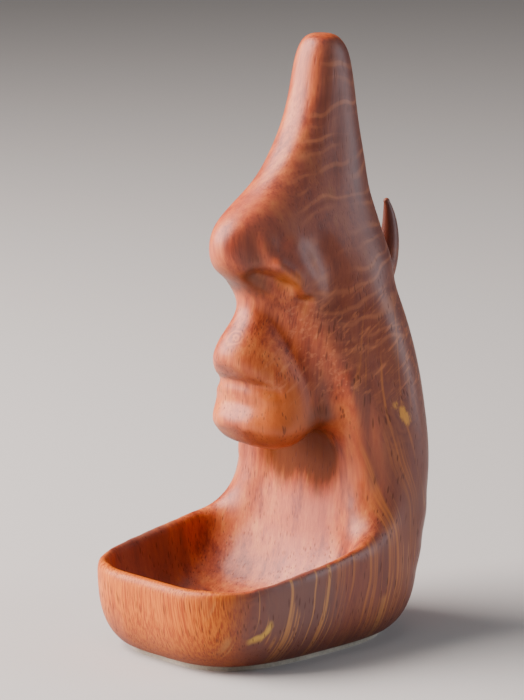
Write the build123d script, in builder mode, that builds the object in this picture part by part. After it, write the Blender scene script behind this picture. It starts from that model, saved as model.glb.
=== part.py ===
from build123d import *
from math import cos, pi, sin
import os

os.makedirs("parts", exist_ok=True)

# An eyeglasses stand carved from one block of hardwood: a tall nose over lips and a
# chin, a hollowed throat, and a tray in front for keys and coins. A horn-shaped hook is
# pegged into the back, and a felt pad is glued under the base.
#
# Everything is in millimetres. +Z is up, -Y is where the face looks, and the origin is
# the middle of the footprint on the surface that the stand rests on.

HEIGHT = 177.0
FELT_THICKNESS = 1.5
TRAY_HALF_WIDTH = 35.2
TRAY_FRONT = -44.4
WALL = 4.2
TRAY_FLOOR_Z = 8.5
NOSE_TIP_Z = 117.0
CHIN_Z = 57.5
OUTLINE_POINTS = 16

# Each solid below is a stack of plan outlines, one to a line:
# height, half width, front, back, squareness, taper towards the front.

# The tray's outside, which leans in near the top so that it dies into the bust.
TRAY = [
    (FELT_THICKNESS, 28.6, -38.4, 38.0, 3.2, 0.0),
    (4, 31.2, -40.8, 40.4, 3.4, 0.0),
    (10, 34.0, -43.0, 43.4, 3.6, 0.0),
    (24, TRAY_HALF_WIDTH, TRAY_FRONT, 46.4, 3.6, 0.0),
    (34, 35.6, -44.2, 47.0, 3.5, 0.0),
    (43, 34.8, -43.8, 46.4, 3.3, 0.0),
    (50, 33.0, -43.0, 45.0, 3.4, 0.0),
]

# Chest, neck, head and nose.
BUST = [
    (4, 30.0, -20.0, 38.0, 3.4, 0.0),
    (12, 31.5, -16.0, 42.0, 3.4, 0.0),
    (22, 33.0, -9.0, 44.0, 3.2, 0.0),
    (34, 34.0, 9.6, 45.6, 2.8, 0.0),
    (46, 34.8, 14.0, 47.0, 2.5, 0.02),
    (58, 34.4, 14.0, 47.4, 2.5, 0.03),
    (68, 33.2, 12.0, 46.8, 2.5, 0.06),
    (78, 31.0, 8.2, 45.8, 2.6, 0.12),
    (88, 28.2, 3.8, 44.8, 2.5, 0.20),
    (98, 25.4, 0.0, 43.8, 2.2, 0.28),
    (105, 22.6, -6.0, 42.8, 2.2, 0.36),
    (111, 20.2, -12.8, 42.0, 2.5, 0.42),
    (NOSE_TIP_Z, 18.0, -15.4, 41.0, 2.6, 0.42),
    (124, 15.6, -13.4, 40.0, 2.6, 0.38),
    (132, 13.2, -3.0, 38.2, 2.6, 0.32),
    (140, 11.5, 6.0, 37.4, 2.6, 0.25),
    (150, 9.7, 12.8, 36.4, 2.6, 0.15),
    (160, 8.7, 16.6, 35.6, 2.5, 0.05),
    (168.6, 7.8, 18.3, 34.7, 2.3, 0.0),
    (174, 6.4, 20.0, 32.8, 2.2, 0.0),
    (176.4, 4.6, 21.8, 30.6, 2.0, 0.0),
    (HEIGHT, 3.2, 23.4, 29.2, 2.0, 0.0),
]

# Lips and chin, standing proud of the cheeks.
MUZZLE_BACK = 30.0
MUZZLE = [
    (CHIN_Z, 7.0, -0.5, 5.0, 2.2, 0.0),
    (CHIN_Z + 1.5, 11.0, -3.8, 8.0, 2.3, 0.0),
    (CHIN_Z + 4, 14.2, -7.2, 12.0, 2.5, 0.0),
    (CHIN_Z + 7, 16.2, -9.3, 18.0, 2.5, 0.0),
    (CHIN_Z + 10, 17.0, -9.6, 27.0, 2.5, 0.0),
    (71, 17.0, -8.6, MUZZLE_BACK, 2.5, 0.0),
    (76, 16.4, -8.2, MUZZLE_BACK, 2.5, 0.0),
    (82, 14.4, -11.2, MUZZLE_BACK, 2.4, 0.0),
    (88, 11.4, -12.6, MUZZLE_BACK, 2.4, 0.0),
    (93, 9.0, -9.4, MUZZLE_BACK, 2.6, 0.0),
    (98, 7.8, -5.6, MUZZLE_BACK, 2.8, 0.0),
    (104, 7.4, -5.2, MUZZLE_BACK, 2.8, 0.0),
    (108, 7.2, -4.6, MUZZLE_BACK, 2.8, 0.0),
]

# The hollow of the tray, inside the walls.
CAVITY_BACK = 21.0
CAVITY = [
    (TRAY_FLOOR_Z, 21.0, -31.0, CAVITY_BACK, 3.4, 0.0),
    (TRAY_FLOOR_Z + 2, 25.5, -35.5, CAVITY_BACK, 3.6, 0.0),
    (TRAY_FLOOR_Z + 7, 29.0, -38.6, CAVITY_BACK, 3.8, 0.0),
    (46, TRAY_HALF_WIDTH - WALL, TRAY_FRONT + WALL, CAVITY_BACK, 3.8, 0.0),
]

# The rim seen from the side, as distance from the middle and height.
RIM = [
    (-60, 25.2),
    (-44, 26.0),
    (-18, 28.2),
    (-2, 30.4),
    (8, 32.4),
    (15, 35.0),
    (21, 39.0),
    (26, 46.0),
    (28, 54.0),
]
RIM_ROUNDING = 1.0
SCOOP_TOP_Z = 60.0
SCOOP_REACH = 60.0

# One wing of the nose, as outlines stacked on its own middle line, which leans inwards.
# Heights are from where that line crosses WING_Z.
WING_X = 12.0
WING_Z = 110.0
WING_LEAN = 17.0
WING = [
    (-6.5, 2.0, 5.5, 11.5, 2.0, 0.0),
    (-4.5, 4.0, 2.2, 13.4, 2.2, 0.0),
    (-1.5, 5.2, -2.0, 14.4, 2.2, 0.0),
    (2, 5.2, -5.0, 13.0, 2.2, 0.0),
    (6, 4.4, -7.0, 10.5, 2.2, 0.0),
    (11, 3.2, -8.0, 7.0, 2.2, 0.0),
    (15, 1.8, -7.0, 4.0, 2.0, 0.0),
]

# The throat, hollowed from the jaw down to the tray floor, which leaves a ridge at each side.
THROAT_FRONT = -60.0
THROAT = [
    (TRAY_FLOOR_Z - 0.5, 25.0, THROAT_FRONT, -5.0, 3.8, 0.0),
    (12, 29.0, THROAT_FRONT, 4.0, 4.6, 0.0),
    (16, 31.4, THROAT_FRONT, 8.8, 5.4, 0.0),
    (22, 32.5, THROAT_FRONT, 12.6, 6.0, 0.0),
    (30, 32.5, THROAT_FRONT, 15.2, 6.0, 0.0),
    (38, 31.0, THROAT_FRONT, 17.0, 5.2, 0.0),
    (48, 28.5, THROAT_FRONT, 18.8, 4.4, 0.0),
    (56, 26.5, THROAT_FRONT, 19.6, 4.0, 0.0),
    (62, 24.0, THROAT_FRONT, 17.6, 3.8, 0.0),
    (67, 18.0, THROAT_FRONT, 12.6, 3.4, 0.0),
]

# The hook: its curve in side view, and how thick it is along that curve.
HOOK_CURVE = [(42.0, 94.0), (47.0, 97.0), (52.0, 103.5), (54.6, 112.0), (53.4, 124.4)]
HOOK_RADII = [(0.0, 4.4), (0.25, 4.0), (0.5, 3.5), (0.7, 2.8), (0.87, 1.9), (1.0, 0.9)]
HOOK_TIP_RADIUS = 1.0
DOWEL_RADIUS = 1.6
DOWEL_LENGTH = 14.0
DOWEL_CHAMFER = 0.3
DOWEL_START_Y = 34.0
DOWEL_Z = 95.0
GLUE_GAP = 0.05

# The felt pad, a little smaller than the flat underneath.
FELT_INSET = 1.5


def outline(half_width, front, back, squareness, taper):
    """Points round a rounded outline, narrower towards the front as taper grows."""
    middle = (front + back) / 2
    half_depth = (back - front) / 2
    points = []
    for step in range(OUTLINE_POINTS):
        angle = 2 * pi * step / OUTLINE_POINTS
        across = abs(cos(angle)) ** (2 / squareness) * (1 if cos(angle) > 0 else -1)
        along = abs(sin(angle)) ** (2 / squareness) * (1 if sin(angle) > 0 else -1)
        points.append((half_width * across * (1 + taper * along), middle + half_depth * along))
    return points


def skinned(sections):
    """A smooth solid through outlines stacked up the height."""
    with BuildPart() as skin:
        for height, half_width, front, back, squareness, taper in sections:
            with BuildSketch(Plane.XY.offset(height)):
                with BuildLine():
                    Spline(*outline(half_width, front, back, squareness, taper), periodic=True)
                make_face()
        loft()
    return skin.part


# ---- The hole shared by the body and the hook ---------------------------------------
DOWEL_PLANE = Plane(origin=(0, DOWEL_START_Y, DOWEL_Z), z_dir=(0, 1, 0))
with BuildPart() as dowel_bore:
    with BuildSketch(DOWEL_PLANE.offset(-GLUE_GAP)):
        Circle(DOWEL_RADIUS + GLUE_GAP)
    extrude(amount=DOWEL_LENGTH + 2 * GLUE_GAP)

# ---- What is scooped out above the tray ---------------------------------------------
with BuildPart() as scoop:
    with BuildSketch(Plane.YZ.offset(-SCOOP_REACH)):
        with BuildLine():
            rim = Spline(*RIM)
            Polyline(rim @ 1, (RIM[-1][0], SCOOP_TOP_Z), (RIM[0][0], SCOOP_TOP_Z), rim @ 0)
        make_face()
    extrude(amount=2 * SCOOP_REACH)
    add(skinned(CAVITY))

# ---- Chest, neck and head, with the throat hollowed and the lips and chin added -----
with BuildPart() as bust:
    add(skinned(BUST))
    add(skinned(THROAT), mode=Mode.SUBTRACT)
    add(skinned(MUZZLE))

# ---- The carved body ----------------------------------------------------------------
with BuildPart() as carved_body:
    add(skinned(TRAY))
    add(scoop.part, mode=Mode.SUBTRACT)
    rim_face = carved_body.faces().filter_by(GeomType.EXTRUSION)[0]
    fillet(rim_face.edges().sort_by(SortBy.LENGTH)[-2:], radius=RIM_ROUNDING)
    add(bust.part)
    with Locations(
        Location((-WING_X, 0, WING_Z), (0, WING_LEAN, 0)),
        Location((WING_X, 0, WING_Z), (0, -WING_LEAN, 0)),
    ):
        add(skinned(WING))
    add(dowel_bore.part, mode=Mode.SUBTRACT)
carved_body.part.label = "carved_body"
export_step(carved_body.part, "parts/carved_body.step")

# ---- The hook -----------------------------------------------------------------------
with BuildPart() as rear_hook:
    with BuildLine(Plane.YZ):
        curve = Spline(*HOOK_CURVE)
    for fraction, radius in HOOK_RADII:
        with BuildSketch(Plane(origin=curve @ fraction, z_dir=curve % fraction)):
            Circle(radius)
    loft()
    with Locations(curve @ 1):
        Sphere(HOOK_TIP_RADIUS)
    add(skinned(BUST), mode=Mode.SUBTRACT)
    add(dowel_bore.part, mode=Mode.SUBTRACT)
rear_hook.part.label = "rear_hook"
export_step(rear_hook.part, "parts/rear_hook.step")

# ---- The dowel ----------------------------------------------------------------------
with BuildPart() as hook_dowel:
    with BuildSketch(DOWEL_PLANE):
        Circle(DOWEL_RADIUS)
    extrude(amount=DOWEL_LENGTH)
    chamfer(hook_dowel.edges().filter_by(GeomType.CIRCLE), length=DOWEL_CHAMFER)
hook_dowel.part.label = "hook_dowel"
export_step(hook_dowel.part, "parts/hook_dowel.step")

# ---- The felt -----------------------------------------------------------------------
_, base_half_width, base_front, base_back, base_squareness, base_taper = TRAY[0]
with BuildPart() as base_felt:
    with BuildSketch():
        with BuildLine():
            Spline(
                *outline(
                    base_half_width - FELT_INSET,
                    base_front + FELT_INSET,
                    base_back - FELT_INSET,
                    base_squareness,
                    base_taper,
                ),
                periodic=True,
            )
        make_face()
    extrude(amount=FELT_THICKNESS)
base_felt.part.label = "base_felt"
export_step(base_felt.part, "parts/base_felt.step")
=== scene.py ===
import math

import bpy
import numpy as np
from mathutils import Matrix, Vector


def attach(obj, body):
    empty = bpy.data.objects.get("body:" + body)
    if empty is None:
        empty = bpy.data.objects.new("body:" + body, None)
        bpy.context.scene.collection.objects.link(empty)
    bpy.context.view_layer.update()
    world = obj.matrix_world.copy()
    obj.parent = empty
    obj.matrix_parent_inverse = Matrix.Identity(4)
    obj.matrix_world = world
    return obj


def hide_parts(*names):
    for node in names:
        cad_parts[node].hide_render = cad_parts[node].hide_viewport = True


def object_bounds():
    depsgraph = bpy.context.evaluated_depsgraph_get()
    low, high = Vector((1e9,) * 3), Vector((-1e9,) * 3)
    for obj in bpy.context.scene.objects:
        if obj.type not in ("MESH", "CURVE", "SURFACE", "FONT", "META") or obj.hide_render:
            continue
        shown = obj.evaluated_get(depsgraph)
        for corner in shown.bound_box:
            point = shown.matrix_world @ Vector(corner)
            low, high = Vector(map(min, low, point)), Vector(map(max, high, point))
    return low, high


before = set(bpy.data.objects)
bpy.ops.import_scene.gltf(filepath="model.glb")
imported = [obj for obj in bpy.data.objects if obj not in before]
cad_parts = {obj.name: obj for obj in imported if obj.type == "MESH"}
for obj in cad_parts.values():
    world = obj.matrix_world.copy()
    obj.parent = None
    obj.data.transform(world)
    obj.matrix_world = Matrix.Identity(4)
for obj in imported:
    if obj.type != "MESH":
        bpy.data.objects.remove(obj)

cad_low, cad_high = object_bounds()

MM = 0.001
BODY_VOXEL = 0.75 * MM
HOOK_VOXEL = 0.3 * MM


# ---- Shaping ------------------------------------------------------------------------
# Places and paths are in the frame's millimetres, on the half with positive X, and are
# mirrored to the other half.

# Chisel strokes: depth (minus cuts in), reach either side, and path.
STROKES = [
    # wing of the nose: its crest, the valley behind it, its rolled lower rim, the nostril, and
    # the hollow under the wing
    (1.1, 5.5, [(14.8, 1.6, 118), (16.4, 3.0, 114.5), (17.4, 5.0, 110.0), (16.8, 6.6, 105.5)]),
    (-0.9, 6.0, [(17.5, 10, 118), (20, 12.5, 111), (19.5, 13, 103)]),
    (1.2, 2.8, [(14.5, -4.2, 114.3), (16.2, -1.6, 112), (16.6, 1.2, 108.6), (15.8, 4.2, 105.2)]),
    (-1.6, 4.6, [(8.6, -7.6, 110.4), (11.0, -4.0, 109.0), (12.4, -1.0, 107.2)]),
    (-0.9, 4.0, [(15, 5.2, 102.8)]),
    # upper lip, mouth, lower lip, the crease above the chin, and the chin
    (0.5, 4.5, [(0, -11.6, 86), (5, -10.2, 84.5), (8.5, -7.8, 82.5)]),
    (-0.8, 2.6, [(0, -9.4, 78.4), (5.6, -8.4, 78.1), (9.5, -6.4, 77.3), (12.4, -3.4, 76.0)]),
    (0.45, 2.8, [(0, -8.4, 75.4), (4, -8, 75.2), (9, -6.4, 74.8), (11.5, -4.2, 74.2)]),
    (-0.25, 3.4, [(0, -8.4, 71.8), (8, -6.9, 71.8)]),
    (0.5, 4.5, [(0, -9.8, 67.0), (6, -8.6, 67.0)]),
    # the hollow above the jaw line, the back corner, and the ridge beside the throat
    (-0.8, 6.0, [(17.5, 10.5, 72)]),
    (0.9, 9.0, [(30, 37, 36), (30, 38, 27)]),
    (0.9, 5.0, [(24.4, 14.7, 78), (24.7, 16.9, 66), (24.8, 17.6, 60), (27, 18, 50)]),
]

# Where two forms run together and are blended wide: reach and path.
JOINS = [
    # tray rim into chest, outside and inside
    (14.0, [(30, 16, 35), (31, 19, 40), (32, 24, 47)]),
    (8.0, [(29, 12, 20), (29, 7, 14), (25, 0, 10)]),
    # wing of the nose into cheek
    (13.0, [(13, 8, 134), (17, 13, 120), (20, 16, 108), (22, 16, 98)]),
    # tray flank into back
    (12.0, [(33, 26, 54), (34, 30, 42), (34, 32, 30)]),
    # nostril into upper lip, and lips and chin into cheek
    (8.0, [(5, -6, 106), (9, -3, 103.5), (13, 2, 102)]),
    (7.0, [(12, 4, 98), (14, 8, 90), (17, 10, 82), (18, 13, 74), (18, 15, 66)]),
    # jaw into throat, and throat into neck
    (6.0, [(10, 12, 62), (16, 14, 65), (19, 16, 68), (0, 17, 66)]),
    (9.0, [(12, 14, 65), (19, 16.7, 56.5), (21, 17.1, 47)]),
]

# The tray's rim seen from the side, as depth and height: its edge is rubbed round.
RIM = [(-44, 26.0), (-18, 28.2), (-2, 30.4), (8, 32.4), (15, 35.0), (21, 39.0), (26, 46.0)]
RIM_REACH = 4.5
RIM_END = 24.0

# The whole body is softened by SOFTNESS. Below SOFT_TOP up to EXTRA_SOFTNESS is added to it,
# all of it from SOFT_FADE lower down.
SOFTNESS = 0.10
EXTRA_SOFTNESS = 0.40
SOFT_TOP = 70
SOFT_FADE = 20

# How often each pass goes over the wood.
FIRST_SANDING = 20
SOFTENING = 14
JOINING = 200
RUBBING = 30
AFTER_CARVING = 3
LAST_SANDING = 6
HOOK_SANDING = 10
SMOOTHING = 0.5
REGROWTH = -0.52


def edge_array(mesh):
    edges = np.empty(len(mesh.edges) * 2, np.int32)
    mesh.edges.foreach_get("vertices", edges)
    return edges.reshape(-1, 2)


def read_points(mesh):
    points = np.empty(len(mesh.vertices) * 3, np.float32)
    mesh.vertices.foreach_get("co", points)
    return points.reshape(-1, 3).astype(float) / MM


def write_points(mesh, points):
    mesh.vertices.foreach_set("co", (points * MM).astype(np.float32).ravel())
    mesh.update()


def read_normals(mesh):
    normals = np.empty(len(mesh.vertices) * 3, np.float32)
    mesh.vertex_normals.foreach_get("vector", normals)
    return normals.reshape(-1, 3).astype(float)


def relax(points, edges, strength, times):
    """Moves each point towards the mean of its neighbours; strength is one number or one per point."""
    count = len(points)
    degree = np.bincount(edges.ravel(), minlength=count)[:, None]
    first, second = edges[:, 0], edges[:, 1]
    strength = np.broadcast_to(strength, (count,))[:, None]
    for _ in range(times):
        total = np.empty_like(points)
        for axis in range(3):
            column = points[:, axis]
            total[:, axis] = np.bincount(first, column[second], count)
            total[:, axis] += np.bincount(second, column[first], count)
        points = points + strength * (total / degree - points)
    return points


def sand(points, edges, times):
    """Takes out faceting without shrinking the shape."""
    for _ in range(times):
        points = relax(points, edges, SMOOTHING, 1)
        points = relax(points, edges, REGROWTH, 1)
    return points


def nearness(points, path, reach):
    """1 on the path or its mirror image, falling smoothly to 0 at reach."""
    folded = points.copy()
    folded[:, 0] = np.abs(folded[:, 0])
    nearest = np.full(len(points), np.inf)
    path = [np.array(p, float) for p in path]
    if len(path) == 1:
        path = path * 2
    for start, end in zip(path, path[1:]):
        run = end - start
        length = max(run @ run, 1e-9)
        along = np.clip((folded - start) @ run / length, 0, 1)[:, None]
        nearest = np.minimum(nearest, np.linalg.norm(folded - start - along * run, axis=1))
    closeness = np.clip(1 - nearest / reach, 0, 1)
    return closeness * closeness * (3 - 2 * closeness)


def covered(points, regions):
    cover = np.zeros(len(points))
    for reach, path in regions:
        cover = np.maximum(cover, nearness(points, path, reach))
    return cover


def near_rim(points):
    height = np.interp(points[:, 1], [y for y, z in RIM], [z for y, z in RIM])
    closeness = np.clip(1 - np.abs(points[:, 2] - height) / RIM_REACH, 0, 1)
    return closeness * (points[:, 1] < RIM_END)


def carve(mesh, strokes):
    """The mesh's points, each moved along its normal by the strokes that reach it."""
    points = read_points(mesh)
    normals = read_normals(mesh)
    shift = np.zeros(len(points))
    for depth, reach, path in strokes:
        shift += depth * nearness(points, path, reach)
    return points + normals * shift[:, None]


def remeshed(node, name, voxel):
    """A finely remeshed copy of a CAD node, ready for shaping."""
    rough = bpy.data.objects.new("rough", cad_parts[node].data.copy())
    bpy.context.scene.collection.objects.link(rough)
    modifier = rough.modifiers.new("remesh", "REMESH")
    modifier.mode = "VOXEL"
    modifier.voxel_size = voxel
    graph = bpy.context.evaluated_depsgraph_get()
    mesh = bpy.data.meshes.new_from_object(rough.evaluated_get(graph))
    bpy.data.objects.remove(rough)
    piece = bpy.data.objects.new(name, mesh)
    bpy.context.scene.collection.objects.link(piece)
    for polygon in mesh.polygons:
        polygon.use_smooth = True
    return piece


def carved_body():
    piece = remeshed("carved_body", "carved_wood_body", BODY_VOXEL)
    mesh = piece.data
    edges = edge_array(mesh)
    points = sand(read_points(mesh), edges, FIRST_SANDING)
    low = np.clip((SOFT_TOP - points[:, 2]) / SOFT_FADE, 0, 1)
    points = relax(points, edges, SOFTNESS + EXTRA_SOFTNESS * low, SOFTENING)
    points = relax(points, edges, SMOOTHING * covered(points, JOINS), JOINING)
    points = relax(points, edges, SMOOTHING * near_rim(points), RUBBING)
    write_points(mesh, points)
    points = carve(mesh, STROKES)
    points = relax(points, edges, SMOOTHING, AFTER_CARVING)
    write_points(mesh, sand(points, edges, LAST_SANDING))
    return piece


def carved_hook():
    piece = remeshed("rear_hook", "carved_hook", HOOK_VOXEL)
    mesh = piece.data
    write_points(mesh, sand(read_points(mesh), edge_array(mesh), HOOK_SANDING))
    return piece


# ---- Materials ----------------------------------------------------------------------
class Graph:
    """Short names for making and joining shader nodes."""

    def __init__(self, name):
        self.material = bpy.data.materials.new(name)
        self.material.use_nodes = True
        self.tree = self.material.node_tree
        self.tree.nodes.clear()

    def node(self, kind, inputs=(), **settings):
        made = self.tree.nodes.new(kind)
        for key, value in settings.items():
            setattr(made, key, value)
        for key, value in dict(inputs).items():
            self.feed(made.inputs[key], value)
        return made

    def feed(self, socket, value):
        """Joins another node's output to the socket, or sets a plain value on it."""
        if isinstance(value, bpy.types.NodeSocket):
            self.tree.links.new(value, socket)
        else:
            socket.default_value = value

    def calc(self, operation, a, b=0.0, c=0.0, clamp=False):
        made = self.node("ShaderNodeMath", {0: a, 1: b, 2: c}, operation=operation, use_clamp=clamp)
        return made.outputs[0]

    def product(self, first, *others):
        for other in others:
            first = self.calc("MULTIPLY", first, other)
        return first

    def wave(self, value, spacing):
        return self.calc("SINE", self.product(value, 2 * math.pi / spacing))

    def vector_math(self, operation, a, b=(0, 0, 0)):
        return self.node("ShaderNodeVectorMath", {0: a, 1: b}, operation=operation)

    def stretch(self, vector, amounts):
        return self.vector_math("MULTIPLY", vector, amounts).outputs[0]

    def length(self, vector):
        return self.vector_math("LENGTH", vector).outputs["Value"]

    def apart(self, vector, centre):
        return self.vector_math("SUBTRACT", vector, centre).outputs[0]

    def turned(self, vector, angle):
        """The vector turned about X."""
        inputs = {"Vector": vector, "Axis": (1, 0, 0), "Angle": angle}
        return self.node("ShaderNodeVectorRotate", inputs).outputs[0]

    def span(self, value, low, high, to_low=0.0, to_high=1.0):
        """Eases from to_low to to_high as value goes from low to high."""
        made = self.node(
            "ShaderNodeMapRange",
            {"Value": value, "From Min": low, "From Max": high, "To Min": to_low, "To Max": to_high},
            interpolation_type="SMOOTHSTEP",
        )
        return made.outputs[0]

    def noise(self, vector, scale, detail=2.0, roughness=0.5):
        inputs = {"Vector": vector, "Scale": scale, "Detail": detail, "Roughness": roughness}
        return self.node("ShaderNodeTexNoise", inputs).outputs["Fac"]

    def centred_noise(self, vector, scale, detail=2.0, roughness=0.5):
        return self.calc("SUBTRACT", self.noise(vector, scale, detail, roughness), 0.5)

    def mix(self, factor, a, b):
        made = self.node("ShaderNodeMix", data_type="RGBA")
        factor_socket, a_socket, b_socket = (made.inputs[i] for i in (0, 6, 7))
        self.feed(factor_socket, factor)
        self.feed(a_socket, a)
        self.feed(b_socket, b)
        return made.outputs[2]

    def ramp(self, value, stops):
        made = self.node("ShaderNodeValToRGB", {"Fac": value})
        elements = made.color_ramp.elements
        while len(elements) < len(stops):
            elements.new(0.5)
        for element, (place, colour) in zip(elements, stops):
            element.position = place
            element.color = (*colour, 1)
        return made.outputs[0]

    def bump(self, height, strength, distance):
        inputs = {"Height": height, "Strength": strength, "Distance": distance}
        return self.node("ShaderNodeBump", inputs).outputs[0]

    def finish(self, inputs):
        """Makes the surface and returns the material."""
        shader = self.node("ShaderNodeBsdfPrincipled", inputs)
        self.node("ShaderNodeOutputMaterial", {"Surface": shader.outputs[0]})
        return self.material


# Lengths in the wood's figure are in the frame's millimetres. A mirrored place is given
# on the half with positive X.

# From the darkest growth to the palest.
GROWTH_COLOURS = [
    (0.14, (0.085, 0.012, 0.006)),
    (0.34, (0.290, 0.044, 0.015)),
    (0.50, (0.500, 0.096, 0.026)),
    (0.66, (0.640, 0.165, 0.040)),
    (0.88, (0.750, 0.290, 0.075)),
]
RED = (0.470, 0.056, 0.018, 1)
SIDE_SHADE_MAUVE = (0.155, 0.064, 0.053, 1)
NAPE_SHADE_MAUVE = (0.150, 0.055, 0.044, 1)
FRONT_DARK = (0.400, 0.058, 0.004, 1)
FRONT_PALE = (0.720, 0.180, 0.006, 1)
CURL_PALE = (0.720, 0.260, 0.110, 1)
CURL_DARK = (0.130, 0.022, 0.012, 1)
FLECK = (0.740, 0.250, 0.100, 1)
PALE_LINE = (0.680, 0.300, 0.085, 1)
OCHRE = (0.600, 0.200, 0.045, 1)
SAPWOOD = (0.800, 0.460, 0.070, 1)
FLAME = (0.800, 0.360, 0.050, 1)
PORE = (0.085, 0.018, 0.010, 1)
RECESS_SHADE = (0.100, 0.034, 0.024, 1)
UNDERSIDE_SHADE = (0.100, 0.026, 0.010, 1)
RUBBED = (0.740, 0.300, 0.130, 1)
STAIN = (0.070, 0.026, 0.022, 1)

# The pith lies outside the block and leans: its place at Z = 0, and the lean.
PITH_X = -38.0
PITH_Y = 70.0
PITH_LEAN = 0.16
WIDE_RING = 8.5
FINE_RING = 2.1

# How far the grain wanders along each axis.
WANDER = (24, 24, 30)

# Knots, not mirrored: centre, ring spacing, reach, ring strength.
TRAY_KNOT = ((31.5, -31.5, 16.6), 2.6, 13.0, 0.16)
NECK_KNOT = ((32.7, 28.0, 68.9), 2.9, 12.0, 0.11)
LIP_KNOT = ((2.0, -9.8, 91.5), 1.7, 4.2, 0.12)

# Patches of colour and of painted shade and light, mirrored: centre, reach, strength, colour.
THROAT_HOLLOW = (6.0, 19.0, 54.0)
TINTS = [
    # orange heartwood on the chin, and painted warm light along the rolled edge of the nostril
    ((13.0, -3.0, 69.0), 11.5, 0.50, (0.68, 0.155, 0.018)),
    ((14.0, 0.0, 109.0), 4.5, 0.80, (0.70, 0.180, 0.012)),
    # painted shadow under the jaw, and painted shade under the nose and at the corner of the jaw
    (THROAT_HOLLOW, 12.5, 0.92, (0.110, 0.024, 0.003)),
    ((7.0, -8.0, 107.0), 6.0, 0.70, (0.110, 0.030, 0.012)),
    ((15.5, 9.0, 66.0), 6.0, 0.60, (0.170, 0.050, 0.018)),
    # painted shade inside the tray, in mauve
    ((29.0, -16.0, 18.0), 19.0, 0.70, (0.170, 0.085, 0.075)),
]

# Curly figure: the spacing of its two sets of bands, how far they swing, and their fall with depth.
CURL_SPACING = 4.6
SECOND_CURL_SPACING = 3.1
CURL_SWING = 17.0
CURL_FALL = 0.22

# Pale lines on the flank of the tray: how far they sway, how far and how fast they bow out
# with height, and the two strongest, as depth at Z = 0 before any sway, and half width.
LINE_SWAY = 7.0
LINE_BOW = 5.0
BOW_RATE = 0.062
MAIN_LINES = [(-22.8, 0.75), (-9.5, 0.9)]

# Small distances that Blender takes in metres: how near a wall has to be to make a
# recess, and the height of the grain.
RECESS_REACH = 28 * MM
GRAIN_HEIGHT = 0.4 * MM


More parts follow.
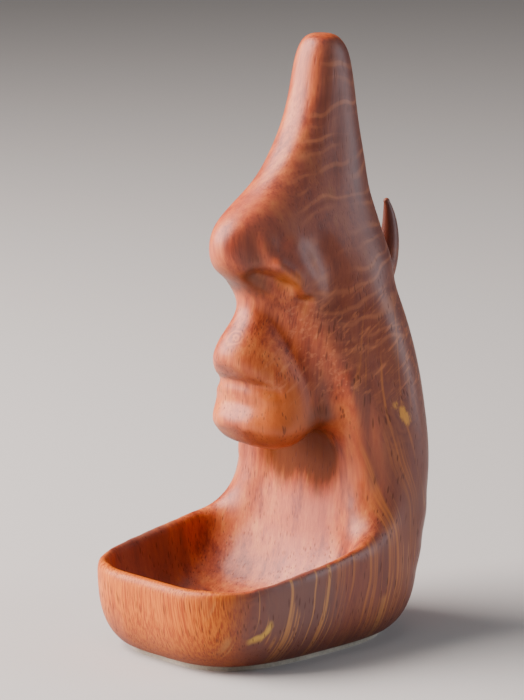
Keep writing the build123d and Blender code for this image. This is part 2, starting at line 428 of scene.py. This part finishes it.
class Rosewood(Graph):
    """Lacquered rosewood. growth() gives its base colour, and each painting method after it
    lays features of the figure and wear, and painted shade and light, over the colour that it is given."""

    def __init__(self, name):
        super().__init__(name)
        scaled = self.vector_math("SCALE", self.node("ShaderNodeTexCoord").outputs["Object"])
        scaled.inputs["Scale"].default_value = 1 / MM
        self.place = scaled.outputs[0]
        along = self.node("ShaderNodeSeparateXYZ", {"Vector": self.place}).outputs
        self.x, self.y, self.z = along["X"], along["Y"], along["Z"]
        self.reach_x = self.calc("ABSOLUTE", self.x)
        folded = {"X": self.reach_x, "Y": self.y, "Z": self.z}
        self.folded = self.node("ShaderNodeCombineXYZ", folded).outputs[0]

        geometry = self.node("ShaderNodeNewGeometry").outputs
        facing = self.node("ShaderNodeSeparateXYZ", {"Vector": geometry["Normal"]}).outputs
        self.pointiness = geometry["Pointiness"]
        self.facing_up = facing["Z"]
        self.outward = self.product(facing["X"], self.calc("SIGN", self.x))

        self.grain_place = self.wandering()
        self.wobble = self.centred_noise(self.place, 0.15)
        self.fine_streak = self.noise(self.stretch(self.grain_place, (1, 1, 0.05)), 1.9, 3.0, 0.65)
        self.front = self.product(
            self.span(self.y, -30.0, -41.0), self.span(self.noise(self.place, 0.05), 0.20, 0.45)
        )
        self.pore = self.pores()
        self.recess = self.recesses()

    # places and masks ----------------------------------------------------------------
    def wandering(self):
        """The place, bent slowly from side to side as the grain is."""
        inputs = {
            "Vector": self.stretch(self.place, (1, 1, 0.5)), "Scale": 0.026, "Detail": 1.0, "Roughness": 0.4
        }
        wander = self.node("ShaderNodeTexNoise", inputs).outputs["Color"]
        bent = self.vector_math("MULTIPLY_ADD", self.apart(wander, (0.5, 0.5, 0.5)), WANDER)
        self.feed(bent.inputs[2], self.place)
        return bent.outputs[0]

    def pores(self):
        """Open pores: short dashes along the grain, all over the tray's front, fainter on the head."""
        inputs = {
            "Vector": self.stretch(self.grain_place, (1, 1, 0.13)), "Scale": 1.05, "Randomness": 1.0
        }
        field = self.node("ShaderNodeTexVoronoi", inputs).outputs["Distance"]
        gate = self.span(self.noise(self.stretch(self.place, (1, 1, 0.4)), 0.20), 0.36, 0.52)
        gate = self.calc("MAXIMUM", gate, self.front)
        return self.product(self.span(field, 0.30, 0.15), gate, self.span(self.z, 95.0, 115.0, 1.0, 0.45))

    def recesses(self):
        """Painted shade in hollows and creases, darker where the surface is more closed in."""
        openness = self.node("ShaderNodeAmbientOcclusion", {"Distance": RECESS_REACH}, samples=8)
        return self.product(self.span(openness.outputs["AO"], 0.86, 0.22), 0.74)

    # painting ------------------------------------------------------------------------
    def knot_rings(self):
        """The rings of all the knots together, and how much of the wood they cover."""
        rings, cover = 0.0, 0.0
        for centre, spacing, reach, strength in (TRAY_KNOT, NECK_KNOT, LIP_KNOT):
            distance = self.length(self.stretch(self.apart(self.place, centre), (1.0, 1.0, 0.75)))
            distance = self.calc("MULTIPLY_ADD", self.wobble, spacing * 4.5, distance)
            near = self.span(distance, reach, reach * 0.4)
            rings = self.calc("ADD", self.product(self.wave(distance, spacing), near, strength), rings)
            cover = self.calc("MAXIMUM", near, cover)
        return rings, cover

    def growth(self):
        """The base colour: growth rings, streaks along the grain, and the rings of the knots."""
        bent = self.node("ShaderNodeSeparateXYZ", {"Vector": self.grain_place}).outputs
        ring_x = self.calc("MULTIPLY_ADD", bent["Z"], PITH_LEAN, self.calc("ADD", bent["X"], -PITH_X))
        ring_y = self.calc("ADD", bent["Y"], -PITH_Y)
        radius = self.calc("MULTIPLY_ADD", ring_x, ring_x, self.product(ring_y, ring_y))
        radius = self.calc("SQRT", radius)
        streak = self.centred_noise(self.stretch(self.grain_place, (1, 1, 0.06)), 0.36, 3.0, 0.6)
        fine_streak = self.calc("SUBTRACT", self.fine_streak, 0.5)
        rings, cover = self.knot_rings()

        tone = self.product(self.wave(radius, WIDE_RING), 0.07)
        tone = self.calc("MULTIPLY_ADD", streak, 0.75, tone)
        tone = self.calc("MULTIPLY_ADD", fine_streak, 0.42, tone)
        tone = self.calc("MULTIPLY_ADD", self.wave(radius, FINE_RING), 0.025, tone)
        calm = self.calc("MULTIPLY_ADD", cover, -0.6, 1.0)
        tone = self.calc("MULTIPLY_ADD", tone, calm, 0.5)
        return self.ramp(self.calc("ADD", rings, tone, clamp=True), GROWTH_COLOURS)

    def casts(self, colour):
        """Redder patches, painted shade with a cool sheen in mauve on faces turned to the side and at the
        nape, and an orange front to the tray.
        """
        patch = self.span(self.noise(self.stretch(self.place, (1, 1, 0.5)), 0.035), 0.42, 0.66)
        colour = self.mix(self.product(patch, 0.45), colour, RED)
        # painted shade with a cool sheen, in mauve, on faces turned to the side
        sides = self.calc("MAXIMUM", self.span(self.reach_x, 12.0, 19.0), self.span(self.z, 104.0, 116.0))
        flank = self.product(self.span(self.outward, 0.42, 0.84), 0.72, sides)
        colour = self.mix(flank, colour, SIDE_SHADE_MAUVE)
        # painted shade, in mauve, on side faces at the back, low down
        nape = self.product(
            self.span(self.y, 21.0, 31.0), self.span(self.outward, 0.3, 0.7), self.span(self.z, 20.0, 40.0)
        )
        colour = self.mix(self.product(nape, 0.5), colour, NAPE_SHADE_MAUVE)
        streaky = self.mix(self.span(self.fine_streak, 0.36, 0.62), FRONT_DARK, FRONT_PALE)
        return self.mix(self.product(self.front, 0.88), colour, streaky)

    def tints(self, colour):
        """The patches in TINTS, each with a streaky edge: wood colour, painted shade and painted warm light.
        """
        fringe = self.centred_noise(self.stretch(self.place, (1, 1, 0.16)), 0.42, 3.0, 0.6)
        for centre, reach, strength, tint in TINTS:
            away = self.length(self.apart(self.folded, centre))
            away = self.calc("MULTIPLY_ADD", fringe, reach * 0.9, away)
            cover = self.product(self.span(away, reach * 1.2, reach * 0.5), strength)
            colour = self.mix(cover, colour, (*tint, 1))
        return colour

    def curl(self, colour):
        """Curly figure across the flanks of the head: broad wavy bands that come and go."""
        swing = self.product(self.centred_noise(self.place, 0.05, 2.0, 0.55), CURL_SWING)
        slope = self.calc("MULTIPLY_ADD", self.y, -CURL_FALL, self.calc("ADD", self.z, swing))
        band = self.wave(slope, CURL_SPACING)
        band = self.calc("MULTIPLY_ADD", self.wave(slope, SECOND_CURL_SPACING), 0.45, band)
        presence = self.product(
            self.span(self.noise(self.stretch(self.place, (1, 0.7, 1.6)), 0.085), 0.32, 0.58),
            self.span(self.z, 70.0, 96.0),
            self.span(self.outward, 0.45, 0.75),
            self.span(self.y, 2.0, 12.0),
        )
        pale = self.product(self.span(band, 0.2, 1.4), presence, 0.27)
        dark = self.product(self.span(band, -0.2, -1.4), presence, 0.30)
        return self.mix(dark, self.mix(pale, colour, CURL_PALE), CURL_DARK)

    def flecks(self, colour):
        """Short slanting flecks on the cheeks."""
        fleck = self.noise(self.stretch(self.turned(self.place, 0.9), (1, 1, 0.10)), 0.75, 3.0, 0.6)
        cheek = self.product(
            self.span(self.z, 68.0, 78.0), self.span(self.z, 112.0, 98.0), self.span(self.reach_x, 7.0, 13.0)
        )
        return self.mix(self.product(self.span(fleck, 0.50, 0.72), cheek, 0.45), colour, FLECK)

    def flank_lines(self, colour):
        """Pale lines bowing up the flanks of the tray, and ochre streaks behind them."""
        side = self.product(self.span(self.outward, 0.25, 0.7), self.span(self.reach_x, 20.0, 28.0))
        sway = self.product(self.centred_noise(self.stretch(self.place, (1, 1, 0.8)), 0.05, 1.0), LINE_SWAY)
        bulge = self.calc("SINE", self.product(self.z, BOW_RATE))
        bow = self.calc("MULTIPLY_ADD", bulge, -LINE_BOW, self.calc("ADD", self.y, sway))
        flat = {"X": 0.0, "Y": bow, "Z": self.product(self.z, 0.012)}
        line_place = self.node("ShaderNodeCombineXYZ", flat).outputs[0]

        lines = self.calc("ABSOLUTE", self.centred_noise(line_place, 0.21, 1.0))
        broken = self.span(self.noise(self.stretch(self.place, (0.3, 1, 0.35)), 0.13), 0.46, 0.60)
        lines = self.product(self.span(lines, 0.030, 0.0), broken)
        for depth, half_width in MAIN_LINES:
            off = self.calc("ABSOLUTE", self.calc("SUBTRACT", bow, depth))
            lines = self.calc("MAXIMUM", lines, self.span(off, half_width, half_width * 0.3))
        lines = self.product(lines, side, self.span(self.z, 52.0, 26.0), 0.6)
        colour = self.mix(lines, colour, PALE_LINE)

        streaks = self.noise(self.stretch(line_place, (1, 1, 2.0)), 0.62, 3.0, 0.65)
        streaks = self.product(
            self.span(streaks, 0.50, 0.68),
            self.span(self.y, -12.0, 10.0),
            self.span(self.y, 36.0, 26.0),
            side,
        )
        return self.mix(self.product(streaks, 0.55), colour, OCHRE)

    def sapwood(self, colour):
        """Yellow sapwood in two knots: a crescent in the tray's, a flame in the neck's."""
        away = self.apart(self.place, TRAY_KNOT[0])
        distance = self.calc("MULTIPLY_ADD", self.wobble, 5.0, self.length(away))
        heading = self.vector_math("NORMALIZE", away).outputs[0]
        heading = self.vector_math("DOT_PRODUCT", heading, (0.0, 0.66, -0.75)).outputs["Value"]
        crescent = self.product(
            self.span(distance, 4.8, 6.2), self.span(distance, 7.8, 6.4), self.span(heading, 0.55, 0.90)
        )
        colour = self.mix(self.product(crescent, 0.85), colour, SAPWOOD)

        leaning = self.turned(self.apart(self.place, NECK_KNOT[0]), -0.45)
        flame = self.length(self.stretch(leaning, (0.4, 1.5, 0.62)))
        flicker = self.centred_noise(self.stretch(self.place, (1, 1, 0.45)), 0.55, 3.0, 0.6)
        flame = self.calc("MULTIPLY_ADD", flicker, 9.0, flame)
        return self.mix(self.product(self.span(flame, 3.2, 0.6), 0.75), colour, FLAME)

    def wear_and_painted_shade(self, colour):
        """Dark pores, painted shade in recesses and on faces turned down, and paler rubbed edges."""
        colour = self.mix(self.product(self.pore, 0.62), colour, PORE)
        # painted shade in recesses
        colour = self.mix(self.recess, colour, RECESS_SHADE)
        # painted shade on faces turned down, from the jaw upwards
        underside_shade = self.product(self.span(self.facing_up, -0.15, -0.75), self.span(self.z, 40.0, 50.0))
        colour = self.mix(self.product(underside_shade, 0.62), colour, UNDERSIDE_SHADE)
        rubbed = self.span(self.pointiness, 0.52, 0.58)
        return self.mix(self.product(rubbed, 0.3), colour, RUBBED)

    # surface -------------------------------------------------------------------------
    def roughness(self):
        haze = self.calc("MULTIPLY_ADD", self.noise(self.place, 0.09, 3.0), 0.16, 0.34)
        return self.calc("MULTIPLY_ADD", self.pore, 0.15, haze)

    def polish(self):
        """Full on open faces, less in the throat, in recesses and on the tray's front."""
        away = self.length(self.apart(self.folded, THROAT_HOLLOW))
        throat = self.product(self.span(away, 17.0, 8.0), 0.85)
        dull = self.calc("MAXIMUM", self.calc("MAXIMUM", throat, self.recess), self.product(self.front, 0.45))
        return self.calc("SUBTRACT", 1.0, dull)

    def relief(self):
        """Fine grain, open pores and slow tool marks."""
        grain = self.calc("MULTIPLY_ADD", self.fine_streak, 0.5, self.product(self.pore, -0.9))
        tool_marks = self.noise(self.stretch(self.place, (1, 1, 0.8)), 0.10, 1.0)
        return self.bump(self.calc("MULTIPLY_ADD", tool_marks, 3.0, grain), 0.22, GRAIN_HEIGHT)


def rosewood(name, stain):
    """Lacquered rosewood; stain is from 0 for the bare figure to 1 for a plain dark mauve."""
    wood = Rosewood(name)
    colour = wood.growth()
    for paint in (wood.casts, wood.tints, wood.curl, wood.flecks, wood.flank_lines, wood.sapwood, wood.wear_and_painted_shade):
        colour = paint(colour)
    polish = wood.polish()
    return wood.finish(
        {
            "Base Color": wood.mix(stain, colour, STAIN),
            "Roughness": wood.roughness(),
            "IOR": 1.5,
            "Specular IOR Level": wood.product(polish, 0.36),
            "Coat Weight": wood.product(polish, 0.20),
            "Coat Roughness": 0.42,
            "Coat IOR": 1.5,
            "Normal": wood.relief(),
        }
    )


def felt():
    graph = Graph("pale_felt")
    place = graph.node("ShaderNodeTexCoord").outputs["Object"]
    fibre = graph.noise(place, 900.0, 4.0, 0.7)
    mixed = graph.calc("MULTIPLY_ADD", graph.calc("SUBTRACT", fibre, 0.5), 0.7, graph.noise(place, 60.0))
    return graph.finish(
        {
            "Base Color": graph.ramp(mixed, [(0.25, (0.30, 0.26, 0.20)), (0.75, (0.62, 0.56, 0.46))]),
            "Roughness": 0.95,
            "Sheen Weight": 0.5,
            "Normal": graph.bump(fibre, 0.6, 0.4 * MM),
        }
    )


def dowel_wood():
    graph = Graph("plain_dowel_wood")
    place = graph.node("ShaderNodeTexCoord").outputs["Object"]
    grain = graph.noise(graph.stretch(place, (1, 0.06, 1)), 2200.0, 3.0, 0.6)
    return graph.finish(
        {
            "Base Color": graph.ramp(grain, [(0.3, (0.42, 0.26, 0.13)), (0.7, (0.66, 0.47, 0.28))]),
            "Roughness": 0.6,
            "Normal": graph.bump(grain, 0.3, 0.2 * MM),
        }
    )


def floor_paint():
    graph = Graph("pale_floor")
    return graph.finish({"Base Color": (0.62, 0.61, 0.59, 1), "Roughness": 0.75})


def dress(piece, material):
    piece.data.materials.clear()
    piece.data.materials.append(material)


# ---- The stand ----------------------------------------------------------------------
body = carved_body()
hook = carved_hook()
hook_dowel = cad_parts["hook_dowel"]
base_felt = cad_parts["base_felt"]

dress(body, rosewood("lacquered_rosewood", 0.0))
dress(hook, rosewood("dark_rosewood", 0.55))
dress(hook_dowel, dowel_wood())
dress(base_felt, felt())

for piece, node in ((body, "carved_body"), (hook, "rear_hook")):
    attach(piece, "root")
    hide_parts(node)


# ---- Studio -------------------------------------------------------------------------
FLOOR_REACH = 3.0

# Soft lights: azimuth and elevation from the stand, distance, width, height, power, colour.
LIGHTS = {
    "key": (-46, 31, 1.0, 0.9, 1.1, 46.0, (1.0, 0.88, 0.84)),
    "side_fill": (134, 14, 1.1, 0.6, 0.8, 6.0, (0.84, 0.90, 1.0)),
    "top": (20, 78, 1.2, 0.8, 0.8, 1.5, (1.0, 0.98, 0.96)),
}
SKY_COLOUR = (0.80, 0.82, 0.85, 1)
SKY_STRENGTH = 0.085

VIEW_AZIMUTH = 46.7
VIEW_ELEVATION = 11.7
VIEW_DISTANCE = 1.15
VIEW_LENS = 202.8
SENSOR_WIDTH = 36
NEAREST = 0.01
FURTHEST = 20

# The camera aims this far from the middle of the stand.
AIM_SHIFT = Vector((0.2, -4.4, -2.2)) * MM


def direction(azimuth, elevation):
    """Azimuth 0 is the stand's front; it grows towards +X."""
    turn, rise = math.radians(azimuth), math.radians(elevation)
    level = math.cos(rise)
    return Vector((math.sin(turn) * level, -math.cos(turn) * level, math.sin(rise)))


def placed(name, data, target, azimuth, elevation, distance):
    """A light or camera that looks at the target from that side."""
    made = bpy.data.objects.new(name, data)
    bpy.context.scene.collection.objects.link(made)
    made.location = target + direction(azimuth, elevation) * distance
    made.rotation_mode = "QUATERNION"
    made.rotation_quaternion = direction(azimuth, elevation).to_track_quat("Z", "Y")
    return made


def floor():
    far = FLOOR_REACH
    corners = [(-far, -far, 0), (far, -far, 0), (far, far, 0), (-far, far, 0)]
    mesh = bpy.data.meshes.new("floor")
    mesh.from_pydata(corners, [], [(0, 1, 2, 3)])
    made = bpy.data.objects.new("floor", mesh)
    bpy.context.scene.collection.objects.link(made)
    dress(made, floor_paint())


def soft_light(name, target, azimuth, elevation, distance, width, height, power, colour):
    data = bpy.data.lights.new(name, "AREA")
    data.shape = "RECTANGLE"
    data.size = width
    data.size_y = height
    data.energy = power
    data.color = colour
    placed(name, data, target, azimuth, elevation, distance)


def sky():
    world = bpy.data.worlds.new("studio")
    bpy.context.scene.world = world
    world.use_nodes = True
    background = world.node_tree.nodes["Background"].inputs
    background["Color"].default_value = SKY_COLOUR
    background["Strength"].default_value = SKY_STRENGTH


def camera(target):
    data = bpy.data.cameras.new("camera")
    data.lens = VIEW_LENS
    data.sensor_width = SENSOR_WIDTH
    data.clip_start = NEAREST
    data.clip_end = FURTHEST
    made = placed("camera", data, target, VIEW_AZIMUTH, VIEW_ELEVATION, VIEW_DISTANCE)
    bpy.context.scene.camera = made


middle = (cad_low + cad_high) / 2
floor()
for light, facts in LIGHTS.items():
    soft_light(light, middle, *facts)
sky()
camera(middle + AIM_SHIFT)
